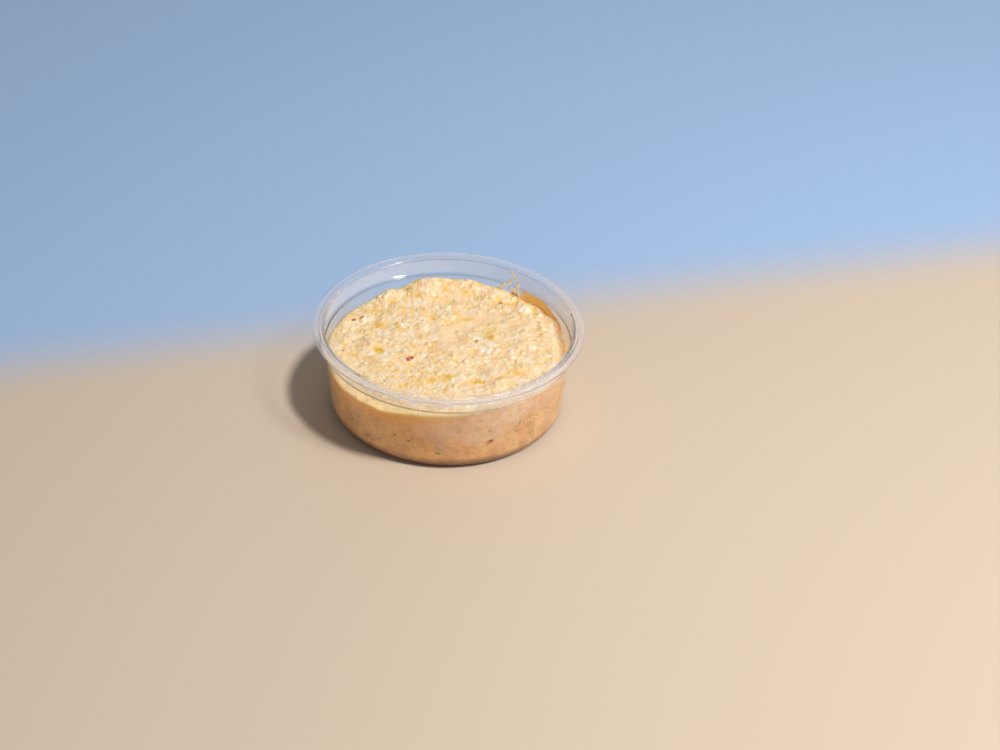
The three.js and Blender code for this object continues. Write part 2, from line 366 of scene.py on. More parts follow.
def clear_plastic():
    """Thin clear plastic: clearest in the tapered wall, hazy in the collar, thick in the rim.

    Light from the lamps passes it without being bent.
    """
    g = Graph("clear_plastic")
    at = g.coords()
    height = g.add("SeparateXYZ", {0: at}).outputs["Z"]

    def band(none, full):
        """0 at one height in millimetres, passing to 1 at the other."""
        return g.ramp(height, none * MM, full * MM)

    under_rim = band(TUB_HEIGHT - 1.3, TUB_HEIGHT - 2.3)
    collar = g.maths("MULTIPLY", band(LEDGE_HEIGHT - 0.1, LEDGE_HEIGHT + 0.9), under_rim)
    rim = g.ramp(under_rim, 1, 0)
    ledge_foot = band(LEDGE_HEIGHT - 1.1, LEDGE_HEIGHT - 0.6)
    ledge_shade_line = g.maths("MULTIPLY", ledge_foot, band(LEDGE_HEIGHT + 0.5, LEDGE_HEIGHT))
    near_ledge = band(LEDGE_HEIGHT - 2.7, LEDGE_HEIGHT - 1.4)
    tint = g.mix(near_ledge, (1.0, 0.97, 0.95), (0.96, 0.96, 0.98))
    tint = g.mix(collar, tint, (0.97, 0.97, 1.0))
    # Painted shade: a thin brownish line in the plastic at the ledge's step
    tint = g.mix(ledge_shade_line, tint, (0.84, 0.76, 0.70))
    clear = g.ramp(rim, 0, 1, 0.97, 0.93)
    haze = g.ramp(collar, 0, 1, 0, 0.12)
    inputs = {
        "Base Color": g.mix(rim, tint, (0.97, 0.95, 0.97)),
        "Roughness": g.ramp(rim, 0, 1, 0.04, 0.07),
        "IOR": 1.36,
        "Transmission Weight": g.maths("SUBTRACT", clear, haze),
        "Normal": g.bump(g.noise(at, 22, detail=1.0), 0.12, 0.2),
    }
    plastic = g.add("BsdfPrincipled", inputs)
    edge_on = g.add("LayerWeight", {"Blend": 0.5}).outputs["Facing"]
    shade = g.ramp(edge_on, 0.4, 1.0, 0.97, 0.6)
    grey = g.add("CombineColor", {0: shade, 1: shade, 2: shade})
    passing = g.add("BsdfTransparent", {"Color": grey.outputs[0]})
    path = g.add("LightPath")
    lamp_ray = g.maths("MAXIMUM", path.outputs["Is Shadow Ray"], path.outputs["Is Diffuse Ray"])
    both = g.add("MixShader", {0: lamp_ray, 1: plastic.outputs[0], 2: passing.outputs[0]})
    return g.finish(both.outputs[0])


def flank_colour(g, at, patchy, fine, painted_glow, pale):
    """Cream pressed flat to the plastic: curds of many tones, oil between, painted glow and foot
    shadow.
    """
    tone = g.cells(at, 2.1)
    small_tone = g.cells(at, 0.8)
    hue = g.add("SeparateColor", {0: g.noise(at, 8, output="Color")}).outputs
    broken = g.ramp(g.noise(at, 3.2, detail=3.0), 0.34, 0.60, 0.35, 1.0)
    height = g.add("SeparateXYZ", {0: at}).outputs["Z"]
    # Painted shadow: the side darkens to near black over its last few millimetres at the foot
    foot_shadow = g.ramp(height, 6.2 * MM, 2.4 * MM, 0.0, 0.95)
    colour = g.mix(g.ramp(patchy, 0.35, 0.65), (0.81, 0.45, 0.18), (0.92, 0.56, 0.26))
    colour = g.spots(colour, [
        (hue[0], 0.50, 0.64, 0.75, (0.72, 0.45, 0.27)),
        (hue[1], 0.50, 0.66, 0.75, (0.96, 0.61, 0.22)),
        (hue[2], 0.52, 0.66, 0.65, (0.66, 0.37, 0.13)),
        (tone, 0.45, 1.0, 0.4, (0.95, 0.65, 0.36)),
        (tone, 0.35, 0.0, 0.3, (0.64, 0.34, 0.13)),
        (small_tone, 0.80, 1.0, 0.22, (0.96, 0.72, 0.48)),
        (small_tone, 0.14, 0.0, 0.4, (0.45, 0.24, 0.10)),
        (fine, 0.60, 0.74, 0.45, (0.55, 0.30, 0.12)),
    ])
    colour = g.mix(g.maths("MULTIPLY", pale, broken), colour, (0.90, 0.71, 0.54))
    # Painted glow: orange laid into the side under the lit edge, where light would come through
    colour = g.mix(painted_glow, colour, (1.0, 0.56, 0.11))
    return g.mix(foot_shadow, colour, (0.16, 0.05, 0.015))


def dip_cream():
    """Crumbly feta cream: peach, with whiter curds and yellow hollows, and deeper at the side."""
    g = Graph("feta_dip")
    at = g.coords()
    names = ("white", "oil", "side", "hollow", "calm", "painted_glow", "warm")
    white, oil, side, hollow, calm, painted_glow, warm = (g.attribute(name) for name in names)
    broad = g.noise(at, 13, detail=3.0)
    patchy = g.noise(at, 4.2, detail=2.0)
    fine = g.noise(at, 1.5, detail=3.0, roughness=0.55)
    body = g.mix(g.ramp(broad, 0.38, 0.62), (0.87, 0.60, 0.26), (0.91, 0.62, 0.37))
    body = g.mix(g.ramp(fine, 0.35, 0.7, 0.0, 0.8), body, (0.93, 0.71, 0.46))
    body = g.mix(white, body, (0.95, 0.84, 0.68))
    rich = g.maths("MULTIPLY", g.ramp(patchy, 0.40, 0.60, 0.1, 1.0), warm)
    # Yellow in the hollows: partly oil gathered there, partly painted warm shade in the creases
    yellow = g.maths("MULTIPLY", rich, g.ramp(hollow, 0, 1, 0.35, 1.0))
    body = g.mix(yellow, body, (0.86, 0.55, 0.12))
    body = g.mix(g.maths("MULTIPLY", calm, 0.45), body, (0.91, 0.66, 0.44))
    # Painted glow: the top's edge in the lit arc turns a lighter orange
    body = g.mix(g.maths("MULTIPLY", painted_glow, 0.85), body, (1.0, 0.74, 0.38))
    pool = g.mix(g.ramp(fine, 0.38, 0.62), (0.72, 0.37, 0.02), (0.88, 0.54, 0.09))
    body = g.mix(g.ramp(oil, 0.0, 0.45, 0.0, 0.75), body, (0.89, 0.57, 0.15))
    body = g.mix(g.ramp(oil, 0.4, 1.0), body, pool)
    flank = flank_colour(g, at, patchy, fine, painted_glow, white)
    grain = g.noise(at, 0.5, detail=3.0, roughness=0.6)
    return g.principled({
        "Base Color": g.mix(side, body, flank),
        "Roughness": g.ramp(oil, 0, 1, 0.5, 0.14),
        "Subsurface Weight": g.ramp(side, 0, 1, 0.3, 0.9),
        "Subsurface Radius": (0.0048, 0.0018, 0.0006),
        "Subsurface Scale": 1.0,
        "Normal": g.bump(grain, 0.35, 0.22),
    })


def crumb_cheese():
    """Crumbs from peach to white by their own tint, a little yellow oil on some."""
    g = Graph("feta_crumbs")
    at = g.coords()
    fine = g.noise(at, 0.8, detail=3.0, roughness=0.6)
    colour = g.mix(g.attribute("tint"), (0.88, 0.62, 0.33), (0.96, 0.88, 0.76))
    oily = g.ramp(g.noise(at, 2.4, detail=2.0), 0.52, 0.66, 0.0, 0.7)
    colour = g.mix(oily, colour, (0.90, 0.60, 0.20))
    return g.principled({
        "Base Color": colour,
        "Roughness": g.ramp(fine, 0.3, 0.7, 0.38, 0.55),
        "Subsurface Weight": 0.85,
        "Subsurface Radius": (0.0018, 0.0012, 0.0007),
        "Subsurface Scale": 1.0,
        "Normal": g.bump(fine, 0.4, 0.2),
    })


def oil_gloss():
    """Clear orange oil: deep where it is thick, nearly gone where it is thin."""
    g = Graph("chilli_oil")
    streaks = g.noise(g.coords(), 2.2, detail=3.0)
    return g.principled({
        "Base Color": g.mix(g.ramp(streaks, 0.35, 0.65), (0.96, 0.56, 0.12), (1.0, 0.70, 0.24)),
        "Roughness": 0.12,
        "IOR": 1.47,
        "Subsurface Weight": 0.1,
        "Subsurface Radius": (0.001, 0.0005, 0.0002),
        # Painted glow: the oil gives off a faint orange light of its own, for light shining through
        # it
        "Emission Color": (1.0, 0.56, 0.13, 1),
        "Emission Strength": 0.1,
        "Alpha": g.ramp(g.attribute("thick"), 0, 0.8, 0.0, 0.97),
    })


def smeared_cream():
    """A thin streak of cream and oil, seen through where it is thin."""
    g = Graph("smeared_cream")
    thick = g.attribute("thick")
    streaks = g.noise(g.coords(), 1.4, detail=3.0)
    cover = g.maths("MULTIPLY", thick, g.ramp(streaks, 0.3, 0.7, 0.4, 1.1))
    return g.principled({
        "Base Color": g.mix(g.ramp(streaks, 0.35, 0.65), (0.86, 0.66, 0.38), (0.95, 0.86, 0.70)),
        "Roughness": 0.3,
        "Subsurface Weight": 0.5,
        "Subsurface Radius": (0.002, 0.001, 0.0005),
        "Subsurface Scale": 1.0,
        # Painted glow: a faint warm light of its own, for light shining through the thin cream
        "Emission Color": (1.0, 0.66, 0.36, 1),
        "Emission Strength": 0.13,
        "Alpha": g.ramp(cover, 0, 1, 0.0, 0.7),
    })


def chilli(name, dark, bright, roughness):
    """Skin of a dried flake: mottled, with a satin shine where oil wets it."""
    g = Graph(name)
    mottle = g.noise(g.coords(), 0.9, detail=3.0)
    own = g.ramp(g.attribute("tint"), 0, 1, -0.5, 0.45)
    tone = g.maths("ADD", g.ramp(mottle, 0.35, 0.65, 0.2, 0.8), own)
    return g.principled({
        "Base Color": g.mix(tone, dark, bright),
        "Roughness": g.ramp(mottle, 0.3, 0.7, roughness, roughness + 0.2),
        "Subsurface Weight": 0.1,
        "Subsurface Radius": (0.001, 0.0003, 0.0002),
        "Normal": g.bump(mottle, 0.4, 0.15),
    })


def floor_paint():
    """A plain pale floor, warm in front and passing softly into pale blue behind the tub."""
    g = Graph("floor")
    place = g.add("SeparateXYZ", {0: g.coords()}).outputs
    aslant = g.maths("MULTIPLY", place["X"], FLOOR_SLANT)
    inputs = {
        "Value": g.maths("SUBTRACT", place["Y"], aslant),
        "From Min": FLOOR_WARM * MM,
        "From Max": FLOOR_BLUE * MM,
    }
    behind = g.add("MapRange", inputs, interpolation_type="SMOOTHSTEP").outputs["Result"]
    colour = g.mix(behind, (0.64, 0.53, 0.42), (0.35, 0.52, 0.80))
    return g.principled({"Base Color": colour, "Roughness": 0.8})


# Shapes


def make_piece(name, points, faces, material):
    """A mesh object of points in millimetres, shaded smooth."""
    mesh = bpy.data.meshes.new(name)
    mesh.from_pydata(np.asarray(points, float) * MM, [], faces)
    mesh.validate()
    mesh.shade_smooth()
    mesh.materials.append(material)
    piece = bpy.data.objects.new(name, mesh)
    bpy.context.scene.collection.objects.link(piece)
    return piece


def give_values(piece, values):
    """Puts named numbers on a piece's points, for its material."""
    for name, numbers in values.items():
        attribute = piece.data.attributes.new(name, "FLOAT", "POINT")
        attribute.data.foreach_set("value", np.asarray(numbers, np.float32))


def belongs(piece, slot, *replaced):
    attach(piece, BODY)
    if replaced:
        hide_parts(*replaced)


def arc(centre_r, centre_z, across, upright, start, end, steps):
    """Points of an elliptical arc in the (radius, height) plane, angles in degrees."""
    angles = np.radians(np.linspace(start, end, steps + 1))
    return [(centre_r + across * math.cos(a), centre_z + upright * math.sin(a)) for a in angles]


def bend(start, end, steps):
    """An S-shaped stretch of profile that leaves and arrives upright."""
    points = []
    for i in range(steps + 1):
        share = i / steps
        across = float(smoothstep(share))
        points.append((lerp(start[0], end[0], across), lerp(start[1], end[1], share)))
    return points


def wall_radius(z):
    """Outer radius of the tapered wall at a height between the heel and the ledge."""
    share = (z - HEEL_RADIUS) / (LEDGE_HEIGHT - LEDGE_RISE / 2 - HEEL_RADIUS)
    return lerp(FOOT_RADIUS, SHOULDER_RADIUS, share)


def inner_radius(z):
    """Radius of the tub's inner face at a height above the heel."""
    past_ledge = float(smoothstep((z - LEDGE_HEIGHT - WALL / 2) / LEDGE_RISE + 0.5))
    return lerp(min(wall_radius(z), SHOULDER_RADIUS), COLLAR_RADIUS, past_ledge) - WALL


def heel(inset, steps):
    radius = HEEL_RADIUS - inset
    return arc(FOOT_RADIUS - HEEL_RADIUS, HEEL_RADIUS, radius, radius, -90, 0, steps)


def ledge(inset, lift):
    """The S-shaped step from the tapered wall out to the collar."""
    low = LEDGE_HEIGHT - LEDGE_RISE / 2 + lift
    return bend((SHOULDER_RADIUS - inset, low), (COLLAR_RADIUS - inset, low + LEDGE_RISE), 12)


def tub_profile():
    """Out along the bottom, up the outside, over the rim and down the inside."""
    flange_top = TUB_HEIGHT - FLANGE_DROP
    flange_under = flange_top - FLANGE_THICKNESS
    lip_bottom = flange_under - LIP_DEPTH
    bead_middle = (MOUTH_RADIUS + BEAD_OUTSIDE) / 2
    bead_half = (BEAD_OUTSIDE - MOUTH_RADIUS) / 2
    crown_base = TUB_HEIGHT - BEAD_CROWN
    crown_start = math.degrees(math.asin((flange_top - crown_base) / BEAD_CROWN))
    collar_top = TUB_HEIGHT - BEAD_DEPTH - EDGE_ROUND
    lip_inside = RIM_RADIUS - LIP_WIDTH
    edge = RIM_RADIUS - EDGE_ROUND
    fillet = arc(
        COLLAR_RADIUS + EDGE_ROUND, flange_under - EDGE_ROUND, EDGE_ROUND, EDGE_ROUND, 180, 90, 4
    )
    outside = [
        (0, 0),
        *heel(0, 14),
        *ledge(0, 0),
        *fillet,
        (lip_inside, flange_under),
        (lip_inside, lip_bottom),
        (RIM_RADIUS - LIP_WIDTH / 4, lip_bottom),
        (RIM_RADIUS, lip_bottom + LIP_WIDTH / 4),
        *arc(edge, flange_top - EDGE_ROUND, EDGE_ROUND, EDGE_ROUND, 0, 90, 6),
        *arc(bead_middle, crown_base, bead_half, BEAD_CROWN, crown_start, 180, 18),
    ]
    bead_start = (COLLAR_RADIUS - WALL, collar_top - EDGE_ROUND)
    bead_inside = bend(bead_start, (MOUTH_RADIUS, crown_base), 8)
    inside = [(0, WALL), *heel(WALL, 12), *ledge(WALL, WALL / 2), *bead_inside[:-1]]
    return outside + inside[::-1]


def lathe(profile, segments):
    """Points and faces of a profile turned about Z. It starts and ends on the axis."""
    rings = profile[1:-1]
    angles = np.arange(segments) * (2 * math.pi / segments)
    circle = np.stack([np.cos(angles), np.sin(angles)], 1)
    points = [(0, 0, profile[0][1])]
    for r, z in rings:
        points.extend((r * c, r * s, z) for c, s in circle)
    points.append((0, 0, profile[-1][1]))
    last = len(points) - 1
    first_of_last = 1 + (len(rings) - 1) * segments
    faces = []
    for i in range(segments):
        j = (i + 1) % segments
        faces.append((0, 1 + j, 1 + i))
        for k in range(len(rings) - 1):
            a = 1 + k * segments
            b = a + segments
            faces.append((a + i, a + j, b + j, b + i))
        faces.append((first_of_last + i, first_of_last + j, last))
    return points, faces


def make_tub():
    points, faces = lathe(tub_profile(), TUB_SEGMENTS)
    tub = make_piece("clear_tub", points, faces, clear_plastic())
    tub.data.set_sharp_from_angle(angle=math.radians(SHARP_FROM))
    belongs(tub, "clear_plastic", "tub")


class PackedTop:
    """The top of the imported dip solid, read by rays from above and evened out."""

    def __init__(self):
        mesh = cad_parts["dip"].data
        points = [v.co / MM for v in mesh.vertices]
        self.tree = BVHTree.FromPolygons(points, [p.vertices for p in mesh.polygons])
        self.reach = DIP_RADIUS - EDGE_INSET
        self.offsets = [(0.0, 0.0)]
        for ring, count in ((0.5, 6), (1.0, 10)):
            for i in range(count):
                angle = 2 * math.pi * i / count
                span = SMOOTHING * ring
                self.offsets.append((span * math.cos(angle), span * math.sin(angle)))

    def ray(self, x, y):
        radius = math.hypot(x, y)
        if radius > self.reach:
            x, y = x * self.reach / radius, y * self.reach / radius
        hit = self.tree.ray_cast(Vector((x, y, TUB_HEIGHT)), Vector((0, 0, -1)))[0]
        return hit.z

    def height(self, x, y):
        return sum(self.ray(x + dx, y + dy) for dx, dy in self.offsets) / len(self.offsets)


def disk_grid(count):
    """A square grid of places, rounded to a disk of radius 1 with even spacing."""
    line = np.linspace(-1, 1, count)
    u, v = np.meshgrid(line, line, indexing="ij")
    wide = np.abs(u) >= np.abs(v)
    radius = np.where(wide, u, v)
    with np.errstate(divide="ignore", invalid="ignore"):
        angle = np.where(wide, v / u, 2 - u / v) * (math.pi / 4)
    angle = np.nan_to_num(angle)
    return np.stack([radius * np.cos(angle), radius * np.sin(angle)], -1).reshape(-1, 2)


def grid_border(count):
    """Indices of a square grid's border, once round."""
    index = np.arange(count * count).reshape(count, count)
    border = [index[:-1, 0], index[-1, :-1], index[:0:-1, -1], index[0, :0:-1]]
    return np.concatenate(border)


def side_radius(z):
    """Radius of the dip's side, just inside the plastic."""
    return wall_radius(z) - WALL + INTO_WALL


def scatter(spacing, reach, random):
    """Places spread evenly over the top, about one spacing apart, each a little out of line."""
    count = int((reach / spacing) ** 2 * math.pi)
    k = np.arange(count)
    radius = reach * np.sqrt((k + 0.5) / count)
    angle = k * GOLDEN_ANGLE
    places = np.stack([radius * np.cos(angle), radius * np.sin(angle)], 1)
    return places + random.normal(0, spacing * 0.28, places.shape)


class Domes:
    """Rounded lumps spread over the top, uneven in size, height and tint."""

    def __init__(self, spacing, radii, heights, reach, random):
        self.places = scatter(spacing, reach, random)
        count = len(self.places)
        self.radius = random.uniform(*radii, count)
        self.height = random.uniform(*heights, count) * self.radius / radii[1]
        self.tint = random.uniform(0, 1, count)
        self.tree = KDTree(count)
        for k, (x, y) in enumerate(self.places):
            self.tree.insert((x, y, 0), k)
        self.tree.balance()

    def read(self, x, y):
        """Height at a place, and the tint of the lump that stands highest there."""
        best, tint = 0.0, 0.0
        for _, k, distance in self.tree.find_n((x, y, 0), 6):
            dome = 1 - (distance / self.radius[k]) ** 2
            if dome > 0:
                height = self.height[k] * dome ** 0.7
                if height > best:
                    best, tint = height, self.tint[k] * min(1, 2.5 * dome)
        return best, tint


def packed_crumbs():
    """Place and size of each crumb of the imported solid, by the rule that placed it there."""
    state = CRUMBS["seed"]

    def draw():
        nonlocal state
        state = state * DRAW_FACTOR % DRAW_LIMIT
        return state / DRAW_LIMIT

    level = DIP_TOP - 3
    reach = wall_radius(level) - WALL - CRUMBS["wall_gap"]
    found = []
    for k in range(CRUMBS["count"]):
        radius = reach * math.sqrt((k + 0.5) / CRUMBS["count"])
        angle = k * GOLDEN_ANGLE + PLACE_JITTER * draw()
        size = lerp(CRUMBS["smallest"], CRUMBS["largest"], draw() ** 1.5)
        for _ in range(FORM_DRAWS):
            draw()
        found.append((radius * math.cos(angle), radius * math.sin(angle), size))
    return found


class SunkCrumbs:
    """Crumbs half sunk in the top: the white ones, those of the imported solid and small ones."""

    def __init__(self, reach, random):
        self.crumbs = []
        for x, y, length, width in WHITE_CRUMBS:
            self.crumbs.append((x, y, length, width, random.uniform(-25, 25), 0.5, 1.0))
        for x, y, size in packed_crumbs():
            turn, tint = random.uniform(0, 180), random.uniform(0, 0.55)
            self.crumbs.append((x, y, size * 1.2, size * 0.85, turn, 0.32, tint))
        for x, y in scatter(reach * math.sqrt(math.pi / SMALL_CRUMBS), reach, random):
            size = 1.0 + 1.5 * random.uniform() ** 2
            turn, tint = random.uniform(0, 180), random.uniform(0, 1) ** 1.5
            rough = 1 - 0.8 * calm_at(x, y)
            height = 0.2 * size * rough
            self.crumbs.append((x, y, size * 1.3, size * 0.85, turn, height, tint * rough))
        self.tree = KDTree(len(self.crumbs))
        for k, (x, y, *_) in enumerate(self.crumbs):
            self.tree.insert((x, y, 0), k)
        self.tree.balance()

    def read(self, x, y):
        """Height and tint of the crumb at a place, 0 where there is none."""
        best, best_tint = 0.0, 0.0
        for _, k, _ in self.tree.find_range((x, y, 0), 2.6):
            *ellipse, height, tint = self.crumbs[k]
            ragged = 0.32 * ripple(x / 0.8, y / 0.8, 3.7 * k)
            inside = 1 - in_ellipse(x, y, *ellipse) + ragged
            if inside > 0 and height * min(1, 2.5 * inside) ** 0.6 > best:
                best = height * min(1, 2.5 * inside) ** 0.6
                best_tint = tint * min(1, 4 * inside)
        return best, best_tint


def in_ellipse(x, y, at_x, at_y, length, width, turn):
    """Distance from an ellipse's middle, 1 on its outline."""
    angle = math.radians(turn)
    dx, dy = x - at_x, y - at_y
    along = dx * math.cos(angle) + dy * math.sin(angle)
    across = dy * math.cos(angle) - dx * math.sin(angle)
    return math.hypot(2 * along / length, 2 * across / width)


def calm_at(x, y):
    """Share by which the top is wiped smooth at a place."""
    ragged = 0.35 * ripple(x / 3.5, y / 3.5, 8.1)
    calm = 0.0
    for *ellipse, strength in SMOOTH_PATCHES:
        distance = in_ellipse(x, y, *ellipse) + ragged
        calm = max(calm, strength * float(smoothstep((1.25 - distance) / 0.5)))
    return calm


def pool_at(x, y):
    """Share of oil at a place."""
    ragged = 0.6 * ripple(x / 1.6, y / 1.3, 2.3) + 0.4 * ripple(x / 3.5, y / 3, 5.9)
    pool = 0.0
    for *ellipse, depth in OIL_POOLS:
        distance = in_ellipse(x, y, *ellipse) + ragged
        core = float(smoothstep((1.3 - distance) / 0.7))
        halo = 0.35 * float(smoothstep((2.1 - distance) / 1.2))
        pool = max(pool, depth * core, depth * halo)
    return pool


def trough_at(x, y):
    """Share by which a place lies in the trough along the wall at the right."""
    angle = math.degrees(math.atan2(y, x))
    along = min(angle - TROUGH_FROM, TROUGH_TO - angle) / 10
    ragged = 0.5 * ripple(x / 2, y / 2, 1.1)
    from_wall = inner_radius(DIP_LEVEL) - math.hypot(x, y) + ragged
    width = lerp(2.4, TROUGH_WIDTH, float(smoothstep((48 - angle) / 32)))
    return float(smoothstep(along)) * float(smoothstep((width - from_wall) / 1.4))


def wiped_lines(x, y):
    """Faint ridges left where the top was wiped."""
    along, across = x * 0.98 + y * 0.17, y * 0.98 - x * 0.17
    return 0.14 * ripple(along / 9, across / 0.9, 4.4)


def top_relief(x, y, lumps, curds, grains, crumbs):
    """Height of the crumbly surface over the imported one, and the values that colour it."""
    shift = noise.noise_vector(Vector((x / 1.3, y / 1.3, 6.2)))
    wx, wy = x + 0.35 * shift.x, y + 0.35 * shift.y
    lump, lump_tint = lumps.read(wx, wy)
    curd, curd_tint = curds.read(wx, wy)
    grain, _ = grains.read(wx, wy)
    crumb, crumb_tint = crumbs.read(wx, wy)
    calm = calm_at(x, y)
    pool = pool_at(x, y)
    rough = 1 - 0.6 * calm
    height = (lump + curd + grain) * rough * (1 - 0.75 * pool) + calm * (0.3 + wiped_lines(x, y))
    height += crumb
    hollow = float(np.clip(1 - (curd + 0.6 * lump + 2 * crumb) / 0.42, 0, 1)) * (1 - calm)
    white = max((0.6 * curd_tint ** 2 + 0.6 * lump_tint ** 3) * rough, crumb_tint)
    warm = float(np.clip(1.1 - 0.7 * curd_tint - 0.6 * lump_tint, 0, 1))
    return height, white, hollow, pool, calm, warm


def window(angle, start, end, fade):
    """1 between two angles in degrees, passing to 0 over fade outside and at them."""
    degrees = np.degrees(angle)
    return smoothstep((degrees - start) / fade) * smoothstep((end - degrees) / fade)


def top_face_index(size):
    index = np.arange(size * size).reshape(size, size)
    quads = np.stack([index[:-1, :-1], index[1:, :-1], index[1:, 1:], index[:-1, 1:]], -1)
    return quads.reshape(-1, 4).tolist()


def turned(radius, angles, heights):
    """Points round the axis, one for each angle."""
    return np.column_stack([radius * np.cos(angles), radius * np.sin(angles), heights])


def side_rows(angles, heights):
    """Rows of points under the top's border, down the wall and in along the base.

    Returns them with the painted glow and the share of side colour of those down the wall.
    """
    rows, painted_glow, flank = [], [], []
    lit_through = window(angles, *PAINTED_GLOW_ARC)
    for k in range(1, SIDE_ROWS + 1):
        z = lerp(heights, HEEL_RADIUS, (k / SIDE_ROWS) ** 1.6)
        rows.append(turned(side_radius(z), angles, z))
        below = heights - z
        # Painted glow: orange that fades with depth under the lit arc; the top's colour also
        # reaches a little way down
        painted_glow.append(lit_through * np.exp(-below / PAINTED_GLOW_DEPTH))
        flank.append(lerp(1, smoothstep((below + 0.8) / 3.0), lit_through))
    for r, z in heel(WALL - INTO_WALL, 6)[::-1][1:]:
        rows.append(turned(r, angles, np.full(len(angles), z)))
    return rows, np.concatenate(painted_glow), np.concatenate(flank)


def stitch(ring, start, row_count):
    """Faces from a ring of points down through rows numbered from start, and the last row."""
    faces = []
    for _ in range(row_count):
        below = start + np.arange(len(ring))
        quads = np.stack([ring, below, np.roll(below, -1), np.roll(ring, -1)], 1)
        faces.extend(quads.tolist())
        ring = below
        start += len(ring)
    return faces, ring


def pale_share(points):
    """Strength of the side's paler patches at each point."""
    share = np.zeros(len(points))
    degrees = np.degrees(np.arctan2(points[:, 1], points[:, 0]))
    for angle, z, width, height, strength in PALE_PATCHES:
        along = np.radians(degrees - angle) * FOOT_RADIUS / width * 2
        upward = (points[:, 2] - z) / height * 2
        inside = smoothstep((1.35 - np.hypot(along, upward)) / 0.8)
        share = np.maximum(share, strength * inside)
    return share


def make_dip():
    """The dip: its crumbly top, its side pressed to the wall and its bottom.

    Returns its top as a tree.
    """
    random = np.random.default_rng(5)
    noise.seed_set(5)  # unseeded, noise_vector takes its offsets from the clock
    packed = PackedTop()
    unit = disk_grid(TOP_GRID)
    outermost = np.hypot(unit[:, 0], unit[:, 1])
    angles = np.arctan2(unit[:, 1], unit[:, 0])
    nominal = side_radius(DIP_TOP)
    places = unit * nominal
    layers = [
        Domes(4.6, (2.0, 4.2), (0.1, 0.5), nominal, random),
        Domes(1.6, (0.75, 1.7), (0.1, 0.45), nominal, random),
        Domes(0.95, (0.4, 0.75), (0.06, 0.24), nominal, random),
        SunkCrumbs(nominal, random),
    ]
    broad = np.array([packed.height(x, y) for x, y in places])
    relief = np.array([top_relief(x, y, *layers) for x, y in places])
    height, white, hollow, oil, calm, warm = relief.T
    slick = window(angles, *SLICK_ARC)
    from_wall = (1 - outermost) * nominal
    near_wall = smoothstep(from_wall / lerp(EDGE_CALM, SLICK_WIDTH, slick))
    slick = slick * smoothstep((SLICK_WIDTH + 2 - from_wall) / 3)
    rugged = window(angles, *RUGGED_ARC) * smoothstep((14 - from_wall) / 8)
    heights = broad + (height * (1 + 0.6 * rugged) - SINK) * near_wall
    shrink = 1 - outermost ** 6 * (1 - side_radius(heights) / nominal)
    top = np.column_stack([places * shrink[:, None], heights])
    border = grid_border(TOP_GRID)
    rows, side_painted_glow, side_flank = side_rows(angles[border], heights[border])
    points = np.concatenate([top, *rows, [(0, 0, WALL - INTO_WALL)]])
    top_faces = top_face_index(TOP_GRID)
    side_faces, last = stitch(border, len(top), len(rows))
    centre = len(points) - 1
    base_faces = [(centre, int(b), int(a)) for a, b in zip(last, np.roll(last, -1))]
    dip = make_piece("feta_dip", points, top_faces + side_faces + base_faces, dip_cream())
    edge = smoothstep((outermost - lerp(0.985, 0.973, slick)) / 0.015) * (1 - 0.45 * slick)
    trough = np.array([trough_at(x, y) for x, y in places])
    paler = 1 - 0.4 * smoothstep((places[:, 0] - 0.5 * places[:, 1] - 8) / 30)
    yellower = 1 + 0.3 * smoothstep((places[:, 1] - 18) / 20)
    rest = np.zeros(len(points) - len(top))
    base = np.zeros(len(rest) - len(side_painted_glow))
    values = {
        # The painted glow lies on the top's slick edge and down the side under it
        "painted_glow": [slick, side_painted_glow, base],
        "warm": [lerp(warm * paler * yellower, 0.5, slick), rest],
        "white": [white * (1 - 0.8 * slick), pale_share(points[len(top):])],
        "hollow": [lerp(hollow, 0.4, slick), rest],
        "oil": [oil, rest],
        "calm": [calm, rest],
        # the trough takes the side's deeper colour: partly oil, partly painted shade
        "side": [np.maximum(edge, 0.85 * trough), side_flank, base + 1],
    }
    give_values(dip, {name: np.concatenate(parts) for name, parts in values.items()})
    belongs(dip, "feta_dip", "dip")
    return BVHTree.FromPolygons([Vector(p) for p in top], top_faces)


def top_place(tree, x, y):
    """The point of the finished top under a place, and the direction it faces."""
    hit, normal, _, _ = tree.ray_cast(Vector((x, y, TUB_HEIGHT)), Vector((0, 0, -1)))
    return hit, normal


def unit_ball(subdivisions):
    """Points and triangles of a ball of radius 1."""
    ball = bmesh.new()
    bmesh.ops.create_icosphere(ball, subdivisions=subdivisions, radius=1)
    points = [v.co.copy() for v in ball.verts]
    faces = [[v.index for v in f.verts] for f in ball.faces]
    ball.free()
    return points, faces


class Pile:
    """Many small closed shapes gathered into one mesh, each with its own tint."""

    def __init__(self):
        self.points = []
        self.faces = []
        self.tints = []

    def put(self, points, faces, tint):
        start = len(self.points)
        self.points.extend(points)
        self.faces.extend([start + i for i in face] for face in faces)
        self.tints.extend([tint] * len(points))

    def make(self, name, material):
        piece = make_piece(name, self.points, self.faces, material)
        give_values(piece, {"tint": self.tints})
        return piece


def facing(normal, turn):
    """A turn that stands a flat shape's Z along normal."""
    return normal.to_track_quat("Z", "Y").to_matrix() @ Matrix.Rotation(turn, 3, "Z")


def put_crumb(pile, ball, at, normal, sizes, turn, tint, random):
    """An uneven lump of cheese about a point, flattened against what faces along normal."""
    points, faces = ball
    seed = Vector(random.uniform(0, 100, 3))
    turned = facing(normal, turn)
    half = [size / 2 for size in sizes]
    made = []
    for p in points:
        swell = 1 + 0.45 * noise.noise(p * 1.3 + seed) + 0.22 * noise.noise(p * 3.1 + seed)
        local = Vector((p.x * half[0], p.y * half[1], p.z * half[2])) * swell
        made.append(at + turned @ local)
    pile.put(made, faces, tint)


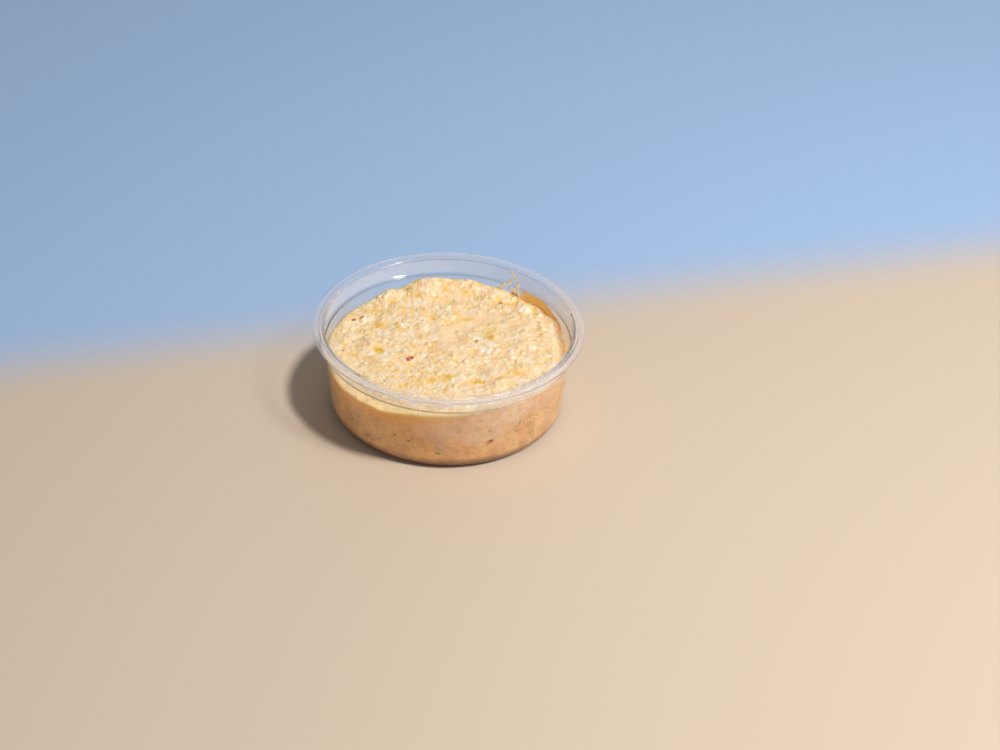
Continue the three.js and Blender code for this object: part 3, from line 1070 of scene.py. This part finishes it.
def make_crumbs(tree):
    """Loose crumbs on the top, and those that stick to the wall."""
    random = np.random.default_rng(12)
    ball = unit_ball(2)
    pile = Pile()
    reach = side_radius(DIP_TOP) - 1.5
    for x, y in scatter(reach * math.sqrt(math.pi / LOOSE_CRUMBS), reach, random):
        size = random.uniform(0.6, 1.5)
        turn = random.uniform(0, math.pi)
        tint = random.uniform(0.1, 0.8)
        keep = random.uniform() > 1.1 * calm_at(x, y) + 0.8 * pool_at(x, y)
        if keep and math.hypot(x, y) < reach:
            step = size / 3
            around = [top_place(tree, x + dx * step, y + dy * step)[0].z for dx, dy in CROSS]
            at = Vector((x, y, min(around) + 0.05 * size))
            put_crumb(pile, ball, at, UP, (size * 1.2, size * 0.85, size * 0.6), turn, tint, random)
    for angle, z, size in WALL_CRUMBS:
        radial = polar(1, angle, 0)
        at = radial * (inner_radius(z) - size * 0.12) + UP * z
        turn = random.uniform(0, math.pi)
        put_crumb(pile, ball, at, -radial, (size * 1.2, size * 0.8, size * 0.5), turn, 0.6, random)
    crumbs = pile.make("feta_crumbs", crumb_cheese())
    belongs(crumbs, "feta_dip")


def put_flake(pile, at, normal, length, width, turn, thickness, lift, random, tint):
    """A thin curled flake with an uneven outline, lying on a surface that faces along normal."""
    sides, rings = 14, 3
    frame_turn = facing(normal, turn)
    seed = Vector(random.uniform(0, 100, 3))
    curl = random.uniform(-0.8, 0.8) * thickness
    points = []
    for face in (1, -1):
        points.append(at + frame_turn @ Vector((0, 0, lift + face * thickness / 2)))
        for ring in range(1, rings + 1):
            share = ring / rings
            for i in range(sides):
                angle = 2 * math.pi * i / sides
                outwards = Vector((math.cos(angle), math.sin(angle), 0))
                ragged = 1 + 0.35 * noise.noise(outwards * 1.7 + seed)
                u = share * ragged * length / 2 * math.cos(angle)
                v = share * ragged * width / 2 * math.sin(angle)
                thin = thickness / 2 * (1 - 0.6 * share ** 4)
                z = lift + face * thin + curl * u * u / length
                points.append(at + frame_turn @ Vector((u, v, z)))
    half = 1 + rings * sides
    faces = []
    for i in range(sides):
        j = (i + 1) % sides
        faces.append((0, 1 + i, 1 + j))
        faces.append((half, half + 1 + j, half + 1 + i))
        for ring in range(rings - 1):
            a, b = 1 + ring * sides, 1 + (ring + 1) * sides
            faces.append((a + i, b + i, b + j, a + j))
            faces.append((half + a + j, half + b + j, half + b + i, half + a + i))
        a = 1 + (rings - 1) * sides
        faces.append((a + i, half + a + i, half + a + j, a + j))
    pile.put(points, faces, tint)


def make_flakes(tree):
    """Flakes in the top and in the side, gathered by colour."""
    random = np.random.default_rng(23)
    red, dark, herbs, spice, halo = Pile(), Pile(), Pile(), Pile(), Pile()
    for pile, flakes in ((red, RED_FLAKES), (dark, DARK_FLAKES)):
        for x, y, length, width, turn, tint in flakes:
            at, normal = top_place(tree, x, y)
            put_flake(pile, at, normal, length, width, math.radians(turn), 0.45, 0.14, random, tint)
    for x, y, size in SPECKS:
        at, normal = top_place(tree, x, y)
        turn, tint = random.uniform(0, 3), random.uniform()
        put_flake(spice, at, normal, size, size * 0.7, turn, 0.25, 0.03, random, tint)
    side_kinds = [
        (red, SIDE_RED, 0.15),
        (halo, SIDE_HALO, 0.3),
        (dark, SIDE_DARK, 0.6),
        (herbs, SIDE_HERBS, 0.6),
    ]
    for pile, flakes, tint in side_kinds:
        for angle, z, length, width, turn in flakes:
            put_side_flake(pile, angle, z, length, width, turn, random, tint)
    for angle, z, length, width, turn in WALL_FLAKES:
        radial = polar(1, angle, 0)
        at = radial * (inner_radius(z) - 0.4) + UP * z
        put_flake(dark, at, -radial, length, width, math.radians(turn), 0.2, 0.05, random, 0.3)
    for k in range(SIDE_SPECKS):
        angle = math.degrees(k * GOLDEN_ANGLE) + random.uniform(-12, 12)
        z = random.uniform(6.5, 22)
        size = random.uniform(0.4, 1.2)
        pile = spice if random.uniform() < 0.65 else herbs
        turn, tint = random.uniform(0, 180), random.uniform(0.4, 1)
        put_side_flake(pile, angle, z, size, size * 0.6, turn, random, tint)
    kinds = [
        (red, "red_flakes", (0.30, 0.04, 0.015), (0.80, 0.27, 0.13), 0.25),
        (dark, "dark_flakes", (0.36, 0.14, 0.06), (0.56, 0.26, 0.12), 0.3),
        (herbs, "herb_flakes", (0.30, 0.21, 0.07), (0.56, 0.38, 0.16), 0.35),
        (halo, "pale_flakes", (0.70, 0.30, 0.12), (0.84, 0.42, 0.20), 0.4),
        (spice, "spice_specks", (0.46, 0.23, 0.09), (0.70, 0.40, 0.18), 0.35),
    ]
    for pile, name, deep, bright, roughness in kinds:
        belongs(pile.make(name, chilli(name, deep, bright, roughness)), "chilli")


def put_side_flake(pile, angle, z, length, width, turn, random, tint):
    """A flake pressed flat between the dip's side and the plastic."""
    radial = polar(1, angle, 0)
    at = radial * side_radius(z) + UP * z
    lift = max(0.01, 0.05 - 0.012 * length)
    put_flake(pile, at, radial, length, width, math.radians(turn), 0.1, lift, random, tint)


def film(share, angles, heights, thickness):
    """A closed skin on the tub's inner face, as thick as share(angle, z) says, 0 to 1.

    Returns its points, its faces and each point's share.
    """
    at = {}
    outer, inner, shares = [], [], []
    for i, angle in enumerate(angles):
        for j, z in enumerate(heights):
            amount = share(angle, z)
            if amount > 0.02:
                at[i, j] = len(shares)
                radius = inner_radius(z)
                outer.append(polar(radius + 0.05, angle, z))
                inner.append(polar(radius - thickness * amount, angle, z))
                shares.append(amount)
    count = len(shares)
    cells = [
        [at[i, j], at[i + 1, j], at[i + 1, j + 1], at[i, j + 1]]
        for i, j in at
        if (i + 1, j) in at and (i + 1, j + 1) in at and (i, j + 1) in at
    ]
    edges = {(cell[k], cell[(k + 1) % 4]) for cell in cells for k in range(4)}
    rim = [(a, b) for a, b in edges if (b, a) not in edges]
    faces = list(cells)
    faces.extend([count + k for k in reversed(cell)] for cell in cells)
    faces.extend([b, a, count + a, count + b] for a, b in rim)
    return outer + inner, faces, shares + shares


def near_path(angle, z, path):
    """Distance in millimetres on the wall from a path of angles and heights."""
    best = math.inf
    place = Vector((math.radians(angle) * COLLAR_RADIUS, z))
    turned = [Vector((math.radians(a) * COLLAR_RADIUS, height)) for a, height in path]
    for start, end in zip(turned, turned[1:]):
        along = end - start
        share = max(0, min(1, (place - start).dot(along) / along.length_squared))
        best = min(best, (place - start - along * share).length)
    return best


def oil_share(angle, z, contact):
    """Oil left on the wall from the dip, at height contact, to the ledge: most at the back."""
    streaky = 5 * ripple(z / 1.8, angle / 6, 9.3)
    along = smoothstep((angle - 15) / 22) * smoothstep((59 + streaky - angle) / 12)
    top = lerp(contact + 1.5, OIL_FILM_TOP, float(smoothstep((angle - 28) / 12)))
    ragged = 0.4 * ripple(angle / 3, z / 2, 1.7)
    above = smoothstep((top + ragged - z) / 1.2)
    below = smoothstep((z - contact + 2.5) / 1.0)
    return float(along * above * below)


def smear_share(angle, z):
    """Cream dragged down the wall from the rim, and patches of it round the ledge."""
    ragged = 0.7 * ripple(angle / 1.6, z / 1.4, 3.1) + 0.2 * ripple(angle / 0.5, z / 0.5, 14)
    trail = (1.05 + 0.03 * (39 - z) + ragged - near_path(angle, z, SMEAR_PATH)) / 0.9
    for at_angle, at_z, radius in SMEAR_PATCHES:
        away = math.hypot(math.radians(angle - at_angle) * COLLAR_RADIUS, z - at_z)
        trail = max(trail, (radius + 1.2 * ragged - away) / 0.9)
    return float(smoothstep(trail))


def make_film(name, share, angles, heights, thickness, material, slot):
    points, faces, shares = film(share, angles, heights, thickness)
    piece = make_piece(name, points, faces, material)
    give_values(piece, {"thick": shares})
    belongs(piece, slot)


def make_wall_marks(tree):
    """The oil and the cream left on the wall above the dip, at the right back."""

    @functools.cache
    def contact(quarters):
        """Height at which the dip meets the wall, by angle in quarters of a degree."""
        hit, _ = top_place(tree, *polar(inner_radius(DIP_LEVEL) - 0.6, quarters / 4, 0).xy)
        return hit.z

    def oil(angle, z):
        return oil_share(angle, z, contact(round(angle * 4)))

    angles = np.arange(16, 70, 0.4)
    heights = np.arange(22, 33.2, 0.3)
    make_film("oil_film", oil, angles, heights, 0.3, oil_gloss(), "chilli_oil")
    angles = np.arange(50, 70, 0.28)
    heights = np.arange(27, 40, 0.26)
    make_film("cream_smear", smear_share, angles, heights, 0.45, smeared_cream(), "feta_dip")


def make_floor():
    reach = FLOOR_REACH
    points = [(-reach, -reach, 0), (reach, -reach, 0), (reach, reach, 0), (-reach, reach, 0)]
    floor = make_piece("floor", points, [(0, 1, 2, 3)], floor_paint())


make_camera()
make_studio()
make_floor()
make_tub()
dip_top = make_dip()
make_crumbs(dip_top)
make_flakes(dip_top)
make_wall_marks(dip_top)
